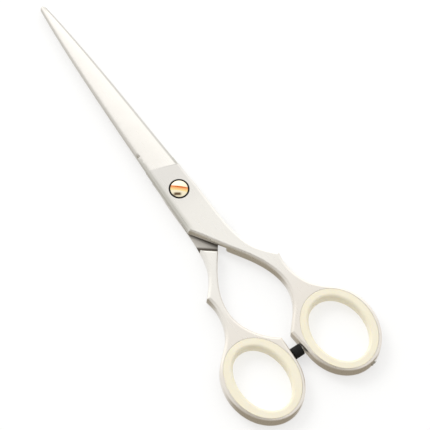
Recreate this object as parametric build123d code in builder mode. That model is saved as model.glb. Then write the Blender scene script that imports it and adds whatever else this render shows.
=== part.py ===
"""Hair cutting shears, 165 mm long, lying closed on their side faces.

Units are millimetres. The pivot axis is the Z axis, Z = 0 is the resting plane, the tips point
along +Y and the finger rings along -Y. The finger half carries the ring on the +X side and its
blade is the upper one. The thumb half is the same forging turned over about the Y axis.
"""
import os
from math import cos, pi, sin

from build123d import *

# Overall thickness: each blade and ricasso takes half, the handles take all of it.
THICKNESS = 5.0
MID = THICKNESS / 2
RIDE_GAP = 0.03           # from the middle plane to each flat inner face
EDGE_ROUND = 1.1          # rounding along the handle and ricasso edges

# Blade, as half widths on the spine side and on the cutting side.
TIP_Y = 80.0
BLADE_ROOT_Y = 4.0
BLADE_ROOT_HALF = 5.5
SPINE_PROUD = 0.1
BEVEL_WIDTH = 1.0
HOLLOW_STATIONS = ((13.0, 0.0), (19.0, 0.18), (45.0, 0.18), (66.0, 0.12), (78.0, 0.02))
TIP_ROUND_Y = TIP_Y - 1.05   # centre of the rounding of the tip

# Ricasso and shank.
SHOULDER = (5.35, 7.6)
CREASE_LEFT = (-5.45, 11.2)
NOTCH_CORNER = (14.6, -36.8)
FINGER_CROTCH = (1.5, -61.8)
THUMB_CROTCH = (1.95, -61.4)
SPINE_CORNER = (-6.05, -14.1)
STEP_OUTER = (7.7, -20.6)
STEP_INNER = (2.5, -24.6)
FINGER_STEP_CREST = 2.4    # rounding of the step towards the bow
THUMB_STEP_CREST = 0.8
STEP_ROOT = 0.4
STEP_SPAN = 60.0          # length of the cut along the step, to each side
RELIEF_DEPTH = 1.2        # slope ground into each inner face, deepest at the step
RELIEF_LENGTH = 13.0

# Inner edge of each shank, from the ricasso round to the corner over the bumper.
FINGER_INNER_CURVE = (
    (1.9, -26.7), (6.5, -34.1), (9.5, -41.5), (10.1, -47.1), (7.7, -54.3), FINGER_CROTCH,
)
THUMB_INNER_CURVE = (
    (2.5, -26.0), (7.4, -33.0), (10.8, -41.0), (11.2, -47.0), (8.4, -54.6), THUMB_CROTCH,
)
FINGER_CROTCH_SLOPE = (-0.6, -0.85)
THUMB_CROTCH_SLOPE = (-1.1, -0.8)

# Finger rings.
RING_CENTRE = (15.4, -69.6)
RING_A, RING_B = 13.1, 15.8
OPENING_A, OPENING_B = 9.0, 11.8
THUMB_OPENING_A = 8.5     # the thumb insert is a little thicker at its sides
INSERT_WALL = 1.2         # silicone between the opening and the metal
LIP_WIDTH = 3.0           # lip, measured out from the opening
LIP_THICK = 0.8
INSERT_ROUND = 1.1
LIP_ROUND = 0.2
LIP_BORDER_GAP = 0.03
SEAT_GAP = 0.02           # air between pieces that are seated in each other

# Pivot stack, from the top down.
HEAD_R = 2.9
HEAD_EDGE_Z = THICKNESS + 0.05
HEAD_DOME = 0.6
HEAD_UNDER_Z = 4.2
SLOT_WIDTH = 1.6
SLOT_DEPTH = 0.75
SLOT_ANGLE = -42.0
COLLAR_R = 3.47
COLLAR_BORE_R = 2.96
COLLAR_TOP_Z = THICKNESS - 0.08
COLLAR_FLOOR = 0.35
COUNTERBORE_DEPTH = 1.45
SPRING_R, SPRING_BORE_R = 2.85, 2.4
SPRING_SHEET = 0.12
JOURNAL_R = 2.25
JOURNAL_END_Z = 2.75
BUSH_BORE_R = 2.29
BUSH_R = 2.75
BUSH_BOTTOM_Z = 2.78
THREAD_R = 1.75
THREAD_END_Z = 0.45
THREAD_CHAMFER = 0.3
NUT_BORE_R = 1.79
NUT_R = 2.9
NUT_FLANGE_R = 3.4
NUT_FLANGE = 0.6
NUT_TOP_Z = 2.2
SPANNER_PITCH_R = 2.5
SPANNER_R = 0.35
WASHER_R = 4.2
WASHER_BORE_R = 2.4
WASHER_THICK = 0.4
WASHER_GAP = 0.05         # air between the glide washer and the finger half

# Bumper between the rings, and the plug of the finger rest's hole.
BUMPER_Y = -67.8
BUMPER_R = 2.0
BUMPER_GAP = 0.05
FINGER_FLAT_X = 1.5       # flats of the two rings beside the bumper
THUMB_FLAT_X = -1.95
BUMPER_ROUND = 0.35
STUD_R = 0.8
STUD_START_X = -0.6
STUD_END_X = 4.6
STUD_CHAMFER = 0.2
PLUG_ANGLE = -77.0
PLUG_R = 1.2
PLUG_LENGTH = 2.4
PLUG_PROUD = 0.35
PLUG_CHAMFER = 0.2
PLUG_SLOT_WIDTH = 0.5
PLUG_SLOT_DEPTH = 0.45

FINGER_PLANE = Plane(origin=(0, 0, MID), x_dir=(1, 0, 0), z_dir=(0, 0, 1))
THUMB_PLANE = Plane(origin=(0, 0, MID), x_dir=(-1, 0, 0), z_dir=(0, 0, -1))

os.makedirs("parts", exist_ok=True)


def save(piece, name):
    """Label one finished piece and write it as its own file."""
    piece.part.label = name
    export_step(piece.part, f"parts/{name}.step")


def handle_outline(inner_curve, crotch_slope):
    """Plan of one half behind the blade: ricasso, shank and ring."""
    ring = EllipticalCenterArc(RING_CENTRE, RING_A, RING_B, start_angle=186, arc_size=209)
    Spline(
        ring @ 1, (22.0, -55.9), (16.9, -50.6), (14.15, -42.5), NOTCH_CORNER,
        tangents=(ring % 1, (0.25, 1)),
    )
    Spline(
        NOTCH_CORNER, (10.9, -32.6), (8.5, -28.8), (6.65, -22.2), (6.0, -14.0), (5.7, 0.0), SHOULDER,
        tangents=((-1, 1.1), (0, 1)),
    )
    Spline(SHOULDER, (0.5, 9.0), CREASE_LEFT)
    Spline(CREASE_LEFT, (-5.7, 0.0), SPINE_CORNER)
    Spline(SPINE_CORNER, *inner_curve, tangents=((1, -1.5), crotch_slope))
    Spline(inner_curve[-1], ring @ 0, tangents=((0.03, -1), ring % 0))


def half_width(y):
    """Half width of the closed blades at a distance y from the pivot."""
    along = (y - BLADE_ROOT_Y) / (TIP_Y - BLADE_ROOT_Y)
    return BLADE_ROOT_HALF - 3.15 * along - 1.4 * along ** 4


def blade_height(y):
    """Thickness of one blade at a distance y from the pivot."""
    along = (y - BLADE_ROOT_Y) / (TIP_Y - BLADE_ROOT_Y)
    return 2.4 - 1.15 * along


def blade_section(y):
    """Section of one blade: round spine, convex face and honed bevel."""
    spine = -half_width(y) - SPINE_PROUD
    edge = half_width(y) - SPINE_PROUD
    top = blade_height(y)
    scale = half_width(y) / BLADE_ROOT_HALF
    bevel = BEVEL_WIDTH * (0.4 + 0.6 * scale)
    face_start = (spine + 1.7 * (0.35 + 0.65 * scale), top)
    wall_top = (spine, top * 0.5)
    bevel_top = (edge - bevel, top * 0.72)
    Line((spine, RIDE_GAP), (edge, RIDE_GAP))
    Line((edge, RIDE_GAP), bevel_top)
    Spline(bevel_top, face_start, tangents=((-1, 0.22), (-1, 0)))
    Spline(face_start, wall_top, tangents=((-1, 0), (0, -1)))
    Line(wall_top, (spine, RIDE_GAP))


def hollow_section(y, depth):
    """Section of the shallow hollow ground into the inner face of a blade."""
    left = (-half_width(y) + 0.6, RIDE_GAP - 0.1)
    right = (half_width(y) - 0.7, RIDE_GAP - 0.1)
    Line(left, right)
    ThreePointArc(right, (0, RIDE_GAP + depth), left)


def cross_plane(base, y):
    """Plane across a blade: its x is the half's own x and its y points away from the ride face."""
    return Plane(origin=(0, y, MID), x_dir=base.x_dir, z_dir=(0, -1, 0))


def blade(base):
    """Blade of one half, hollow ground inside, with a rounded tip."""
    with BuildPart() as body:
        for y in (BLADE_ROOT_Y, 22.0, 42.0, 60.0, 72.0, TIP_Y):
            with BuildSketch(cross_plane(base, y)):
                with BuildLine():
                    blade_section(y)
                make_face()
        loft()
        for y, depth in HOLLOW_STATIONS:
            with BuildSketch(cross_plane(base, y)):
                with BuildLine():
                    hollow_section(y, depth)
                make_face()
        loft(ruled=True, mode=Mode.SUBTRACT)
        tip_half = half_width(TIP_ROUND_Y)
        with BuildSketch(base.offset(-MID)):
            with Locations((-SPINE_PROUD, TIP_ROUND_Y + tip_half)):
                Rectangle(4 * tip_half, 2 * tip_half)
            with Locations((-SPINE_PROUD, TIP_ROUND_Y)):
                Circle(tip_half, mode=Mode.SUBTRACT)
        extrude(amount=THICKNESS, mode=Mode.SUBTRACT)
    return body


def handle(base, inner_curve, crotch_slope):
    """Ricasso, shank and ring of one half, rounded along every outer edge."""
    with BuildPart() as body:
        with BuildSketch(base.offset(-MID)):
            with BuildLine():
                handle_outline(inner_curve, crotch_slope)
            make_face()
        extrude(amount=THICKNESS)
        rims = body.faces().sort_by(Axis.Z)[0].edges() + body.faces().sort_by(Axis.Z)[-1].edges()
        fillet(rims.filter_by(lambda e: e.center().Y < SHOULDER[1] - 1), EDGE_ROUND)
        with BuildSketch(base.offset(-MID)):
            with Locations(RING_CENTRE):
                Ellipse(OPENING_A + INSERT_WALL, OPENING_B + INSERT_WALL)
        extrude(amount=THICKNESS, mode=Mode.SUBTRACT)
        for level, depth in ((-MID, LIP_THICK), (MID, -LIP_THICK)):
            with BuildSketch(base.offset(level)):
                with Locations(RING_CENTRE):
                    Ellipse(OPENING_A + LIP_WIDTH, OPENING_B + LIP_WIDTH)
            extrude(amount=depth, mode=Mode.SUBTRACT)
    return body


def step_cut(base, crest_radius):
    """Everything below the inner face in front of the step: relieved shank, then the ride face."""
    outer = base.from_local_coords(Vector(*STEP_OUTER))
    inner = base.from_local_coords(Vector(*STEP_INNER))
    along = (outer - inner).normalized()
    across = Plane(origin=(outer + inner) / 2, x_dir=base.z_dir.cross(along), z_dir=along)
    reach = 45.0
    with BuildPart() as body:
        with BuildSketch(across):
            with BuildLine():
                crest = JernArc((-crest_radius, -MID), (1, 0), crest_radius, 90)
                wall = Line(crest @ 1, (0, RIDE_GAP + RELIEF_DEPTH - STEP_ROOT))
                root = JernArc(wall @ 1, (0, 1), STEP_ROOT, -90)
                Polyline(
                    root @ 1, (RELIEF_LENGTH, RIDE_GAP), (reach, RIDE_GAP),
                    (reach, -THICKNESS), (-crest_radius, -THICKNESS), crest @ 0,
                )
            make_face()
        extrude(amount=STEP_SPAN, both=True)
    return body


def half(base, inner_curve, crotch_slope, crest_radius):
    """One forging: blade, ricasso, shank and ring in a single piece."""
    shank = handle(base, inner_curve, crotch_slope)
    front = blade(base)
    below = step_cut(base, crest_radius)
    with BuildPart() as body:
        add(shank.part)
        add(below.part, mode=Mode.SUBTRACT)
        add(front.part)
    return body


def turned(name, *outline):
    """Piece turned about the pivot axis from an outline of (radius, z) points."""
    with BuildPart() as body:
        with BuildSketch(Plane.XZ):
            with BuildLine():
                Polyline(*outline, close=True)
            make_face()
        revolve(axis=Axis.Z)
    save(body, name)
    return body


def ring_ellipse(grow):
    """Ellipse of a finger opening, made larger all round."""
    with Locations(RING_CENTRE):
        Ellipse(OPENING_A + grow, OPENING_B + grow)


def ring_insert(base, name, opening_a):
    """Silicone insert: a wall inside the metal ring with a lip over each face of it."""
    with BuildPart() as body:
        with BuildSketch(base.offset(-MID)):
            ring_ellipse(INSERT_WALL - SEAT_GAP)
        extrude(amount=THICKNESS)
        for level, depth in ((-MID, LIP_THICK - SEAT_GAP), (MID, -LIP_THICK + SEAT_GAP)):
            with BuildSketch(base.offset(level)):
                ring_ellipse(LIP_WIDTH - LIP_BORDER_GAP)
            extrude(amount=depth)
        with BuildSketch(base.offset(-MID)):
            with Locations(RING_CENTRE):
                Ellipse(opening_a, OPENING_B)
        extrude(amount=THICKNESS, mode=Mode.SUBTRACT)
        faces = body.faces().sort_by(Axis.Z)
        rims = faces[0].edges() + faces[-1].edges()
        short = OPENING_A + OPENING_B + LIP_WIDTH
        fillet(rims.filter_by(lambda e: e.length < pi * short), INSERT_ROUND)
        faces = body.faces().sort_by(Axis.Z)
        rims = faces[0].edges() + faces[-1].edges()
        fillet(rims.filter_by(lambda e: e.length > pi * (short + 0.5 * LIP_WIDTH)), LIP_ROUND)
    save(body, name)
    return body


# The two forgings, with the pockets of the pivot cut into them.
finger_blank = half(FINGER_PLANE, FINGER_INNER_CURVE, FINGER_CROTCH_SLOPE, FINGER_STEP_CREST)
thumb_blank = half(THUMB_PLANE, THUMB_INNER_CURVE, THUMB_CROTCH_SLOPE, THUMB_STEP_CREST)

stud_plane = Plane(origin=(0, BUMPER_Y, MID), x_dir=(0, 1, 0), z_dir=(1, 0, 0))
plug_heading = (cos(PLUG_ANGLE * pi / 180), sin(PLUG_ANGLE * pi / 180), 0)
plug_mouth = (
    RING_CENTRE[0] + RING_A * plug_heading[0],
    RING_CENTRE[1] + RING_B * plug_heading[1],
    MID,
)
plug_plane = Plane(origin=plug_mouth, x_dir=(0, 0, 1), z_dir=plug_heading)

with BuildPart() as finger_half:
    add(finger_blank.part)
    with BuildSketch(Plane.XY.offset(THICKNESS)):
        Circle(COLLAR_R + SEAT_GAP)
    extrude(amount=-COUNTERBORE_DEPTH, mode=Mode.SUBTRACT)
    with BuildSketch(Plane.XY):
        Circle(BUSH_R + SEAT_GAP)
    extrude(amount=THICKNESS, mode=Mode.SUBTRACT)
    with BuildSketch(Plane.XY.offset(MID)):
        Circle(WASHER_R + SEAT_GAP)
    extrude(amount=WASHER_THICK / 2 + WASHER_GAP, mode=Mode.SUBTRACT)
    with BuildSketch(stud_plane):
        Circle(STUD_R + SEAT_GAP)
    extrude(amount=STUD_END_X + SEAT_GAP, mode=Mode.SUBTRACT)
    with BuildSketch(plug_plane):
        Circle(PLUG_R + SEAT_GAP)
    extrude(amount=PLUG_LENGTH - PLUG_PROUD, both=True, mode=Mode.SUBTRACT)
save(finger_half, "finger_half")

with BuildPart() as thumb_half:
    add(thumb_blank.part)
    with BuildSketch(Plane.XY):
        Circle(NUT_FLANGE_R + SEAT_GAP)
    extrude(amount=NUT_FLANGE + SEAT_GAP, mode=Mode.SUBTRACT)
    with BuildSketch(Plane.XY):
        Circle(NUT_R + SEAT_GAP)
    extrude(amount=MID, mode=Mode.SUBTRACT)
    with BuildSketch(Plane.XY.offset(MID)):
        Circle(WASHER_R + SEAT_GAP)
    extrude(amount=-WASHER_THICK / 2, mode=Mode.SUBTRACT)
save(thumb_half, "thumb_half")

# Pivot stack.
with BuildPart() as pivot_screw:
    with BuildSketch(Plane.XZ):
        with BuildLine():
            dome = ThreePointArc(
                (0, HEAD_EDGE_Z + HEAD_DOME),
                (HEAD_R / 2, HEAD_EDGE_Z + HEAD_DOME * 0.76),
                (HEAD_R, HEAD_EDGE_Z),
            )
            Polyline(
                dome @ 1, (HEAD_R, HEAD_UNDER_Z), (JOURNAL_R, HEAD_UNDER_Z),
                (JOURNAL_R, JOURNAL_END_Z), (THREAD_R, JOURNAL_END_Z),
                (THREAD_R, THREAD_END_Z + THREAD_CHAMFER), (THREAD_R - THREAD_CHAMFER, THREAD_END_Z),
                (0, THREAD_END_Z), dome @ 0,
            )
        make_face()
    revolve(axis=Axis.Z)
    with BuildSketch(Plane.XY.offset(HEAD_EDGE_Z + HEAD_DOME - SLOT_DEPTH)):
        Rectangle(3 * HEAD_R, SLOT_WIDTH, rotation=SLOT_ANGLE)
    extrude(amount=THICKNESS, mode=Mode.SUBTRACT)
save(pivot_screw, "pivot_screw")

collar_floor_z = THICKNESS - COUNTERBORE_DEPTH + SEAT_GAP
screw_collar = turned(
    "screw_collar",
    (SPRING_BORE_R, collar_floor_z), (COLLAR_R, collar_floor_z), (COLLAR_R, COLLAR_TOP_Z),
    (COLLAR_BORE_R, COLLAR_TOP_Z), (COLLAR_BORE_R, collar_floor_z + COLLAR_FLOOR),
    (SPRING_BORE_R, collar_floor_z + COLLAR_FLOOR),
)

spring_z = collar_floor_z + COLLAR_FLOOR + SEAT_GAP
spring_top_z = HEAD_UNDER_Z - SEAT_GAP
spring_washer = turned(
    "spring_washer",
    (SPRING_R, spring_z), (SPRING_R, spring_z + SPRING_SHEET),
    (SPRING_BORE_R, spring_top_z), (SPRING_BORE_R, spring_top_z - SPRING_SHEET),
)

pivot_bush = turned(
    "pivot_bush",
    (BUSH_BORE_R, BUSH_BOTTOM_Z), (BUSH_R, BUSH_BOTTOM_Z),
    (BUSH_R, collar_floor_z - SEAT_GAP), (BUSH_BORE_R, collar_floor_z - SEAT_GAP),
)

washer_bottom_z = MID - WASHER_THICK / 2 + SEAT_GAP
glide_washer = turned(
    "glide_washer",
    (WASHER_BORE_R, washer_bottom_z), (WASHER_R, washer_bottom_z),
    (WASHER_R, washer_bottom_z + WASHER_THICK), (WASHER_BORE_R, washer_bottom_z + WASHER_THICK),
)

with BuildPart() as threaded_insert:
    with BuildSketch(Plane.XY):
        Circle(NUT_FLANGE_R)
        with PolarLocations(SPANNER_PITCH_R, 2, start_angle=30):
            Circle(SPANNER_R, mode=Mode.SUBTRACT)
    extrude(amount=NUT_FLANGE)
    with BuildSketch(Plane.XY.offset(NUT_FLANGE)):
        Circle(NUT_R)
    extrude(amount=NUT_TOP_Z - NUT_FLANGE)
    with BuildSketch(Plane.XY):
        Circle(NUT_BORE_R)
    extrude(amount=NUT_TOP_Z, mode=Mode.SUBTRACT)
save(threaded_insert, "threaded_insert")

# Soft inserts of the two rings.
finger_ring_insert = ring_insert(FINGER_PLANE, "finger_ring_insert", OPENING_A)
thumb_ring_insert = ring_insert(THUMB_PLANE, "thumb_ring_insert", THUMB_OPENING_A)

# Rubber bumper on its stud, between the flats of the two rings.
with BuildPart() as bumper:
    with BuildSketch(stud_plane.offset(THUMB_FLAT_X + BUMPER_GAP)):
        Circle(BUMPER_R)
    extrude(amount=FINGER_FLAT_X - THUMB_FLAT_X - BUMPER_GAP - SEAT_GAP)
    fillet(bumper.edges().group_by(Axis.X)[0], BUMPER_ROUND)
    with BuildSketch(stud_plane.offset(STUD_START_X - SEAT_GAP)):
        Circle(STUD_R + SEAT_GAP)
    extrude(amount=STUD_END_X, mode=Mode.SUBTRACT)
save(bumper, "bumper")

with BuildPart() as bumper_stud:
    with BuildSketch(stud_plane.offset(STUD_START_X)):
        Circle(STUD_R)
    extrude(amount=STUD_END_X - STUD_START_X)
    chamfer(bumper_stud.edges().group_by(Axis.X)[0], STUD_CHAMFER)
save(bumper_stud, "bumper_stud")

# Plug in the threaded hole where a screw-on finger rest would go.
with BuildPart() as finger_rest_plug:
    with BuildSketch(plug_plane.offset(PLUG_PROUD)):
        Circle(PLUG_R)
    extrude(amount=-PLUG_LENGTH)
    outer_face = finger_rest_plug.faces().sort_by(Axis.Y)[0]
    chamfer(outer_face.edges(), PLUG_CHAMFER)
    with BuildSketch(plug_plane.offset(PLUG_PROUD)):
        Rectangle(3 * PLUG_R, PLUG_SLOT_WIDTH)
    extrude(amount=-PLUG_SLOT_DEPTH, mode=Mode.SUBTRACT)
save(finger_rest_plug, "finger_rest_plug")
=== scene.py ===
"""Looks of the hair cutting shears: materials, floor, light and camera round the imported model."""
import math

import bpy
from mathutils import Matrix, Vector

MM = 0.001

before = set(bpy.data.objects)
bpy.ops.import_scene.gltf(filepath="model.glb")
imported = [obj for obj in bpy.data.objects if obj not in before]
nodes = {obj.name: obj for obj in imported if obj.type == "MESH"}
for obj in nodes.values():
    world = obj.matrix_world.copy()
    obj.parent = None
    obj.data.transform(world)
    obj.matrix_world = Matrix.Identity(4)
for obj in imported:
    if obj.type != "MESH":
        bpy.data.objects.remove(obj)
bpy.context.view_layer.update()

# Camera: a long lens above the lower left of the shears, turned a little about its own axis.
CAMERA_AZIMUTH = 227.4          # direction from the target to the camera, from +X, in degrees
CAMERA_ELEVATION = 68.5
CAMERA_ROLL = 8.0
CAMERA_DISTANCE = 1.5
CAMERA_TARGET = Vector((4.49, -14.26, 5.0)) * MM
VIEW_WIDTH = 141.9 * MM         # width of the picture at the target

# Landmarks of one half, in its own x and y. The other half is turned over, so its x is negated.
MID_HEIGHT = 2.5 * MM           # height of the middle plane, where the inner faces meet
CREASE_Y = 9.5                  # in mm: the crease runs along y = CREASE_Y - CREASE_SLANT * x
CREASE_SLANT = 0.32
STEP_DIRECTION = (-0.61, 0.793)     # from the step towards the tips, square to the step
STEP_REACH = 21.0 * MM          # from the pivot back to the step along that direction
SHANK_NORMAL = (0.85, -0.52)    # square to the other half's edge over the recess, towards the bow
SHANK_REACH = 11.85 * MM        # from the pivot to that edge

RICASSO_COLOUR = (0.805, 0.78, 0.745)
# Dark brown painted shade, laid in the recess along the foot of the step and under the edge of the
# other half.
PAINTED_SHADE_COLOUR = (0.16, 0.14, 0.12)


def direction(azimuth, elevation):
    """Unit vector at an azimuth from +X and an elevation above the floor, in degrees."""
    a, e = math.radians(azimuth), math.radians(elevation)
    return Vector((math.cos(a) * math.cos(e), math.sin(a) * math.cos(e), math.sin(e)))


def make_camera():
    """Camera that looks at the target from the photo's side."""
    data = bpy.data.cameras.new("camera")
    data.sensor_width = 36.0
    data.lens = data.sensor_width * CAMERA_DISTANCE / VIEW_WIDTH
    data.clip_start = 0.05
    data.clip_end = 20.0
    camera = bpy.data.objects.new("camera", data)
    bpy.context.scene.collection.objects.link(camera)
    back = direction(CAMERA_AZIMUTH, CAMERA_ELEVATION)
    facing = (-back).to_track_quat("-Z", "Y").to_matrix().to_4x4()
    roll = Matrix.Rotation(math.radians(CAMERA_ROLL), 4, "Z")
    place = Matrix.Translation(CAMERA_TARGET + back * CAMERA_DISTANCE)
    camera.matrix_world = place @ facing @ roll
    bpy.context.scene.camera = camera


def add_area(name, azimuth, elevation, distance, size, power):
    """Square soft light that faces the middle of the shears."""
    data = bpy.data.lights.new(name, "AREA")
    data.size = size
    data.energy = power
    light = bpy.data.objects.new(name, data)
    bpy.context.scene.collection.objects.link(light)
    back = direction(azimuth, elevation)
    light.location = back * distance
    light.rotation_euler = (-back).to_track_quat("-Z", "Y").to_euler()
    light.visible_glossy = False


def make_floor():
    """Pale floor that the shears lie on."""
    bpy.ops.mesh.primitive_plane_add(size=3.0, location=(0, 0, 0))
    floor = bpy.context.object
    floor.name = "floor"
    floor.visible_glossy = False
    material, _, shader = new_material("floor")
    shader.inputs["Base Color"].default_value = (0.40, 0.40, 0.40, 1)
    shader.inputs["Emission Color"].default_value = (1, 1, 1, 1)
    shader.inputs["Emission Strength"].default_value = 0.60
    shader.inputs["Roughness"].default_value = 0.9
    shader.inputs["Specular IOR Level"].default_value = 0.1
    floor.data.materials.append(material)


# Shader building blocks. Each returns an output socket.

def smooth_step(tree, value, low, high):
    """Goes smoothly from 0 at low to 1 at high."""
    step = tree.nodes.new("ShaderNodeMapRange")
    step.interpolation_type = "SMOOTHSTEP"
    step.inputs["From Min"].default_value = low
    step.inputs["From Max"].default_value = high
    tree.links.new(value, step.inputs["Value"])
    return step.outputs["Result"]


def dot(tree, vector, axis):
    """Dot product of a vector socket and a fixed axis."""
    product = tree.nodes.new("ShaderNodeVectorMath")
    product.operation = "DOT_PRODUCT"
    tree.links.new(vector, product.inputs[0])
    product.inputs[1].default_value = axis
    return product.outputs["Value"]


def offset(tree, value, amount):
    """Adds a constant to a socket."""
    node = tree.nodes.new("ShaderNodeMath")
    tree.links.new(value, node.inputs[0])
    node.inputs[1].default_value = amount
    return node.outputs["Value"]


def size_of(tree, value):
    """Absolute value of a socket."""
    node = tree.nodes.new("ShaderNodeMath")
    node.operation = "ABSOLUTE"
    tree.links.new(value, node.inputs[0])
    return node.outputs["Value"]


def product_of(tree, first, *others):
    """Product of masks."""
    result = first
    for mask in others:
        node = tree.nodes.new("ShaderNodeMath")
        node.operation = "MULTIPLY"
        tree.links.new(result, node.inputs[0])
        tree.links.new(mask, node.inputs[1])
        result = node.outputs["Value"]
    return result


def mix_colour(tree, factor, a, b):
    """Mix of two colours or colour sockets by a factor socket."""
    mix = tree.nodes.new("ShaderNodeMix")
    mix.data_type = "RGBA"
    tree.links.new(factor, mix.inputs[0])
    for socket, value in ((mix.inputs[6], a), (mix.inputs[7], b)):
        if isinstance(value, tuple):
            socket.default_value = (*value, 1.0)
        else:
            tree.links.new(value, socket)
    return mix.outputs[2]


def noise(tree, scale, stretch=(1, 1, 1), detail=3.0):
    """Noise value in object coordinates, scale in lumps per metre."""
    coords = tree.nodes.new("ShaderNodeTexCoord").outputs["Object"]
    mapping = tree.nodes.new("ShaderNodeMapping")
    mapping.inputs["Scale"].default_value = stretch
    tree.links.new(coords, mapping.inputs["Vector"])
    texture = tree.nodes.new("ShaderNodeTexNoise")
    texture.inputs["Scale"].default_value = scale
    texture.inputs["Detail"].default_value = detail
    tree.links.new(mapping.outputs["Vector"], texture.inputs["Vector"])
    return texture.outputs["Fac"]


def vary(tree, value, low, high):
    """Maps the middle of a noise to a range."""
    ranged = tree.nodes.new("ShaderNodeMapRange")
    ranged.inputs["From Min"].default_value = 0.3
    ranged.inputs["From Max"].default_value = 0.7
    ranged.inputs["To Min"].default_value = low
    ranged.inputs["To Max"].default_value = high
    tree.links.new(value, ranged.inputs["Value"])
    return ranged.outputs["Result"]


def bump(tree, shader, height, strength, depth):
    """Links a height socket to a shader's normal."""
    node = tree.nodes.new("ShaderNodeBump")
    node.inputs["Strength"].default_value = strength
    node.inputs["Distance"].default_value = depth
    tree.links.new(height, node.inputs["Height"])
    tree.links.new(node.outputs["Normal"], shader.inputs["Normal"])


def new_material(name):
    """New node material with its tree and its shader."""
    material = bpy.data.materials.new(name)
    material.use_nodes = True
    return material, material.node_tree, material.node_tree.nodes["Principled BSDF"]


def new_metal(name):
    """New metallic material with its tree and its shader."""
    material, tree, shader = new_material(name)
    shader.inputs["Metallic"].default_value = 1.0
    return material, tree, shader


def make_world():
    """White studio: warm and dim low down on the near side, brightest on the far side."""
    world = bpy.data.worlds.new("studio")
    world.use_nodes = True
    tree = world.node_tree
    look = tree.nodes.new("ShaderNodeTexCoord").outputs["Generated"]
    near_side = smooth_step(tree, dot(tree, look, direction(241, -30)), 0.25, 0.52)
    far_side = smooth_step(tree, dot(tree, look, direction(68, 5)), 0.35, 0.9)
    dusk = smooth_step(tree, dot(tree, look, direction(222, 20)), 0.5, 0.93)
    lit = mix_colour(tree, far_side, (0.95, 0.95, 0.94), (1.42, 1.42, 1.40))
    open_side = mix_colour(tree, dusk, lit, (0.52, 0.50, 0.45))
    room = mix_colour(tree, near_side, open_side, (0.36, 0.325, 0.265))
    colour = mix_colour(tree, dark_panel(tree, look), room, (0.12, 0.08, 0.05))
    background = tree.nodes["Background"]
    tree.links.new(colour, background.inputs["Color"])
    background.inputs["Strength"].default_value = 1.0
    bpy.context.scene.world = world


def dark_panel(tree, look):
    """Mask of a small dark panel overhead, which the domed screw mirrors as a dark spot."""
    length_axis, length_middle = direction(325.7, 0), -0.111
    width_axis, width_middle = direction(234.5, 0), 0.157
    lengthwise = size_of(tree, offset(tree, dot(tree, look, length_axis), -length_middle))
    widthwise = size_of(tree, offset(tree, dot(tree, look, width_axis), -width_middle))
    return product_of(
        tree,
        smooth_step(tree, lengthwise, 0.46, 0.18),
        smooth_step(tree, widthwise, 0.19, 0.06),
        smooth_step(tree, dot(tree, look, (0.0, 0.0, 1.0)), 0.6, 0.8),
    )


class Half:
    """Masks over one half of the shears. The side is 1 for the finger half, -1 for the thumb half."""

    def __init__(self, tree, side):
        self.tree = tree
        self.side = side
        self.coords = tree.nodes.new("ShaderNodeTexCoord").outputs["Object"]
        self.normal = tree.nodes.new("ShaderNodeTexCoord").outputs["Normal"]
        self.along = dot(tree, self.coords, (0.0, 1.0, 0.0))

    def fade(self, value, low, high):
        """Mask that rises smoothly from low to high, both in millimetres."""
        return smooth_step(self.tree, value, low * MM, high * MM)

    def past(self, slope, reach):
        """Distance beyond a straight line over the plan, along its own x and y slope."""
        across = dot(self.tree, self.coords, (slope[0] * self.side, slope[1], 0.0))
        return offset(self.tree, across, reach)

    def facing(self, axis, low, high):
        """Mask of the surfaces that face along an axis."""
        return smooth_step(self.tree, dot(self.tree, self.normal, axis), low, high)

    def level(self):
        """1 where a surface lies flat, 0 on walls, edges and bevels."""
        upright = size_of(self.tree, dot(self.tree, self.normal, (0.0, 0.0, 1.0)))
        return smooth_step(self.tree, upright, 0.80, 0.97)

    def spine_painted_shade(self):
        """Mask of the painted shade along the spine of the ricasso."""
        from_spine = dot(self.tree, self.coords, (self.side, 0.0, 0.0))
        return product_of(
            self.tree,
            self.fade(from_spine, -3.4, -5.4),
            self.fade(self.along, -17, -11),
            self.fade(self.along, 19, 13),
        )

    def recess(self):
        """Mask of the relieved inner face between the ride area and the step."""
        height = offset(self.tree, dot(self.tree, self.coords, (0.0, 0.0, 1.0)), -MID_HEIGHT)
        return product_of(
            self.tree,
            self.facing((0.0, 0.0, -self.side), 0.5, 0.8),
            self.fade(size_of(self.tree, height), 2.1, 1.7),
            self.fade(self.along, -6, -11),
        )

    def step_root_painted_shade(self):
        """Mask of the painted shade along the foot of the step."""
        return self.fade(self.past(STEP_DIRECTION, STEP_REACH), 2.3, 1.5)

    def under_other_half_painted_shadow(self):
        """Mask of the painted shadow under the edge of the other half."""
        outward = self.past(SHANK_NORMAL, -SHANK_REACH)
        return product_of(
            self.tree, self.fade(outward, 1.5, -0.2), self.fade(outward, -3.4, -1.6)
        )


def handle_colour(half):
    """Satin handle: grey ricasso, pale shank and warm ring, with a painted shade before the crease,
    darker towards the cutting side.
    """
    tree = half.tree
    shank = half.fade(half.along, 6, -12)
    ring = half.fade(half.along, -30, -58)
    ricasso = mix_colour(tree, shank, RICASSO_COLOUR, (0.90, 0.875, 0.83))
    satin = mix_colour(tree, ring, ricasso, (0.86, 0.81, 0.745))
    cutting_side = half.fade(dot(tree, half.coords, (half.side, 0.0, 0.0)), -3, 3)
    # Painted shade before the crease, darker towards the cutting side.
    shade = mix_colour(tree, cutting_side, RICASSO_COLOUR, (0.66, 0.64, 0.61))
    return satin, shade


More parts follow.
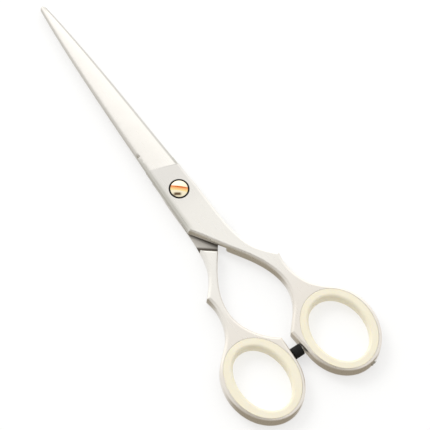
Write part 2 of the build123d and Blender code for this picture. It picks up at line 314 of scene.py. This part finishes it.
def blade_colour(half):
    """Blade: polished outer face, greyer inner face, and grey spine and bevel."""
    tree = half.tree
    edge = (0.68, 0.655, 0.61)
    polish = half.fade(half.along, 6, 50)
    inside = half.facing((0.0, 0.0, -half.side), 0.3, 0.7)
    outside = mix_colour(tree, polish, (0.93, 0.90, 0.855), (0.975, 0.94, 0.895))
    face = mix_colour(tree, inside, outside, (0.70, 0.68, 0.65))
    spine = half.facing((-half.side, 0.0, 0.0), 0.02, 0.6)
    return mix_colour(tree, half.level(), edge, mix_colour(tree, spine, face, edge))


def satin_steel(name, side):
    """Ground steel: satin handle, polished blade beyond the crease, painted shade along the ricasso
    spine, and a duller recess with painted shade at the step and under the other half.
    """
    material, tree, shader = new_metal(name)
    half = Half(tree, side)
    across = dot(tree, half.coords, (CREASE_SLANT * side, 1.0, 0.0))
    satin, shade = handle_colour(half)
    handle = mix_colour(tree, half.fade(across, CREASE_Y - 0.7, CREASE_Y - 0.2), satin, shade)
    beyond_crease = half.fade(across, CREASE_Y - 0.3, CREASE_Y + 0.3)
    clean = mix_colour(tree, beyond_crease, handle, blade_colour(half))
    # Painted shade along the spine of the ricasso.
    clean = mix_colour(tree, half.spine_painted_shade(), clean, (0.64, 0.625, 0.575))
    # Painted shade in the recess: along the foot of the step, and the other half's shadow under its
    # edge.
    recess_with_painted_shade = mix_colour(tree, half.step_root_painted_shade(), (0.74, 0.71, 0.67), PAINTED_SHADE_COLOUR)
    recess_with_painted_shade = mix_colour(tree, half.under_other_half_painted_shadow(), recess_with_painted_shade, PAINTED_SHADE_COLOUR)
    in_recess = half.recess()
    dull = tree.nodes.new("ShaderNodeMix")
    dull.data_type = "RGBA"
    dull.blend_type = "MULTIPLY"
    dull.inputs[0].default_value = 1.0
    tree.links.new(mix_colour(tree, in_recess, clean, recess_with_painted_shade), dull.inputs[6])
    tree.links.new(
        mix_colour(tree, noise(tree, 160), (0.965, 0.965, 0.96), (1.0, 1.0, 1.0)), dull.inputs[7]
    )
    tree.links.new(dull.outputs[2], shader.inputs["Base Color"])
    grind = noise(tree, 2600, (1, 0.05, 1), 4.0)
    rough = tree.nodes.new("ShaderNodeMix")
    tree.links.new(in_recess, rough.inputs[0])
    tree.links.new(vary(tree, grind, 0.26, 0.36), rough.inputs[2])
    rough.inputs[3].default_value = 0.6
    tree.links.new(rough.outputs[0], shader.inputs["Roughness"])
    bump(tree, shader, grind, 0.05, 0.01 * MM)
    return material


def gilt(name):
    """Polished gilt screw: pale dome, and a slot with painted shade and reflection, yellow on one
    side and red on the other.
    """
    material, tree, shader = new_metal(name)
    coords = tree.nodes.new("ShaderNodeTexCoord").outputs["Object"]
    slot_side = dot(tree, coords, direction(48, 0))
    # Painted shade and reflection in the slot: yellow on one side, red towards the other wall.
    slot_shade_mask = smooth_step(tree, slot_side, -0.6 * MM, 0.75 * MM)
    slot = mix_colour(tree, slot_shade_mask, (1.0, 0.80, 0.36), (0.95, 0.36, 0.14))
    dome = mix_colour(tree, noise(tree, 700), (1.0, 0.88, 0.62), (1.0, 0.92, 0.72))
    low = smooth_step(tree, dot(tree, coords, (0.0, 0.0, 1.0)), 5.25 * MM, 5.05 * MM)
    narrow = smooth_step(tree, size_of(tree, slot_side), 0.95 * MM, 0.82 * MM)
    colour = mix_colour(tree, product_of(tree, low, narrow), dome, slot)
    tree.links.new(colour, shader.inputs["Base Color"])
    tree.links.new(vary(tree, noise(tree, 3000), 0.06, 0.11), shader.inputs["Roughness"])
    return material


def silicone(name):
    """Soft ivory silicone that lets a little light through."""
    material, tree, shader = new_material(name)
    colour = mix_colour(tree, noise(tree, 250), (0.85, 0.795, 0.63), (0.89, 0.84, 0.70))
    tree.links.new(colour, shader.inputs["Base Color"])
    tree.links.new(vary(tree, noise(tree, 2500), 0.42, 0.52), shader.inputs["Roughness"])
    shader.inputs["Subsurface Weight"].default_value = 0.25
    shader.inputs["Subsurface Radius"].default_value = (0.0012, 0.001, 0.0006)
    bump(tree, shader, noise(tree, 7000), 0.15, 0.02 * MM)
    return material


def speckle(tree, shader, scale, colour, brightening, rough, spread):
    """Fine variation of a colour and of a roughness."""
    bright = tuple(min(1.0, c * brightening) for c in colour)
    varied = mix_colour(tree, noise(tree, scale), colour, bright)
    tree.links.new(varied, shader.inputs["Base Color"])
    roughness = vary(tree, noise(tree, 4000), rough - spread, rough + spread)
    tree.links.new(roughness, shader.inputs["Roughness"])


def matt_plastic(name, colour, rough):
    """Rubber or plastic with a fine grain."""
    material, tree, shader = new_material(name)
    shader.inputs["Specular IOR Level"].default_value = 0.2
    speckle(tree, shader, 1500, colour, 1.8, rough, 0.06)
    bump(tree, shader, noise(tree, 12000), 0.2, 0.02 * MM)
    return material


def plain_metal(name, colour, rough):
    """Turned or rolled metal in one colour."""
    material, tree, shader = new_metal(name)
    speckle(tree, shader, 900, colour, 1.06, rough, 0.05)
    return material


make_camera()
make_world()
make_floor()
add_area("key", azimuth=100, elevation=42, distance=0.9, size=0.4, power=2.6)

nylon = matt_plastic("nylon", (0.006, 0.005, 0.005), 0.5)
rubber = matt_plastic("rubber", (0.005, 0.005, 0.005), 0.6)
ivory = silicone("ivory")
turned = plain_metal("turned_steel", (0.66, 0.65, 0.62), 0.25)

PIECE_MATERIALS = {
    "finger_half": satin_steel("finger_steel", 1),
    "thumb_half": satin_steel("thumb_steel", -1),
    "pivot_screw": gilt("gilt"),
    "screw_collar": nylon,
    "spring_washer": plain_metal("spring", (0.45, 0.45, 0.46), 0.3),
    "pivot_bush": plain_metal("bronze", (0.62, 0.42, 0.22), 0.3),
    "glide_washer": matt_plastic("ptfe", (0.55, 0.55, 0.54), 0.5),
    "threaded_insert": turned,
    "finger_ring_insert": ivory,
    "thumb_ring_insert": ivory,
    "bumper": rubber,
    "bumper_stud": turned,
    "finger_rest_plug": turned,
}
for piece, material in PIECE_MATERIALS.items():
    nodes[piece].data.materials.clear()
    nodes[piece].data.materials.append(material)

bpy.context.scene.view_settings.view_transform = "Standard"
